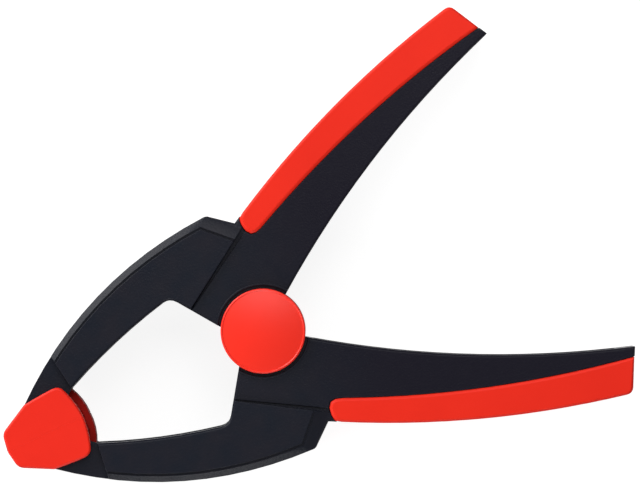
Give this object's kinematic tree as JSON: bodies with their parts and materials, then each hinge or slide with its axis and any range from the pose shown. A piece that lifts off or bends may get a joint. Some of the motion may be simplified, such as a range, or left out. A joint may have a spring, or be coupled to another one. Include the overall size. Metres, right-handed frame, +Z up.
{
  "type": "spring clamp",
  "caption": "Hand spring clamp with curved jaws, swivelling soft pads, a capped pivot with a torsion spring inside, and long handles with soft grips.",
  "frame": {"origin": "centre of the lower pivot cap's flat outer face, on the surface that the clamp lies on", "axes": "+X along the clamp from the pads to the ends of the handles, +Y across it towards the upper arm, +Z up along the pivot"},
  "size_m": [0.1591, 0.111, 0.027],
  "materials": {
    "arm_plastic": "black glass-filled plastic, fine matt grain",
    "soft_grip": "red soft-touch rubber, satin",
    "soft_pad": "red soft pad, satin",
    "pad_plastic": "dark red plastic, satin",
    "cap_plastic": "red plastic, fine grain",
    "pin_steel": "bright zinc plate",
    "spring_steel": "oiled spring steel",
    "sleeve_plastic": "natural white plastic"
  },
  "bodies": {
    "lower_arm": {"lower_arm": "arm_plastic", "lower_grip": "soft_grip", "lower_pad_pin": "pin_steel", "pivot_pin": "pin_steel", "spring_sleeve": "sleeve_plastic", "torsion_spring": "spring_steel", "front_washer": "pin_steel", "front_retaining_ring": "spring_steel", "front_cap": "cap_plastic", "back_washer": "pin_steel", "back_retaining_ring": "spring_steel", "back_cap": "cap_plastic"},
    "upper_arm": {"upper_arm": "arm_plastic", "upper_grip": "soft_grip", "upper_pad_pin": "pin_steel"},
    "upper_pad": {"upper_pad_cover": "soft_pad", "upper_pad_carrier": "pad_plastic"},
    "lower_pad": {"lower_pad_cover": "soft_pad", "lower_pad_carrier": "pad_plastic"}
  },
  "joints": [
    {"name": "jaw_pivot", "type": "hinge", "parent": "lower_arm", "child": "upper_arm", "pos_m": [0, 0, 0.0135], "axis": [0, 0, -1], "range_deg": [0, 50], "stiffness_Nm_per_rad": 0.3, "springref_deg": -68.75, "deforming": ["torsion_spring"]},
    {"name": "upper_pad_swivel", "type": "hinge", "parent": "upper_arm", "child": "upper_pad", "pos_m": [-0.0585, 0.006, 0.0135], "axis": [0, 0, 1], "range_deg": [0, 25]},
    {"name": "lower_pad_swivel", "type": "hinge", "parent": "lower_arm", "child": "lower_pad", "pos_m": [-0.0585, -0.006, 0.0135], "axis": [0, 0, -1], "range_deg": [0, 25]}
  ],
  "couplings": [
    {"joint": "upper_pad_swivel", "follows": "jaw_pivot", "ratio": 0.5},
    {"joint": "lower_pad_swivel", "follows": "jaw_pivot", "ratio": 0.5}
  ]
}
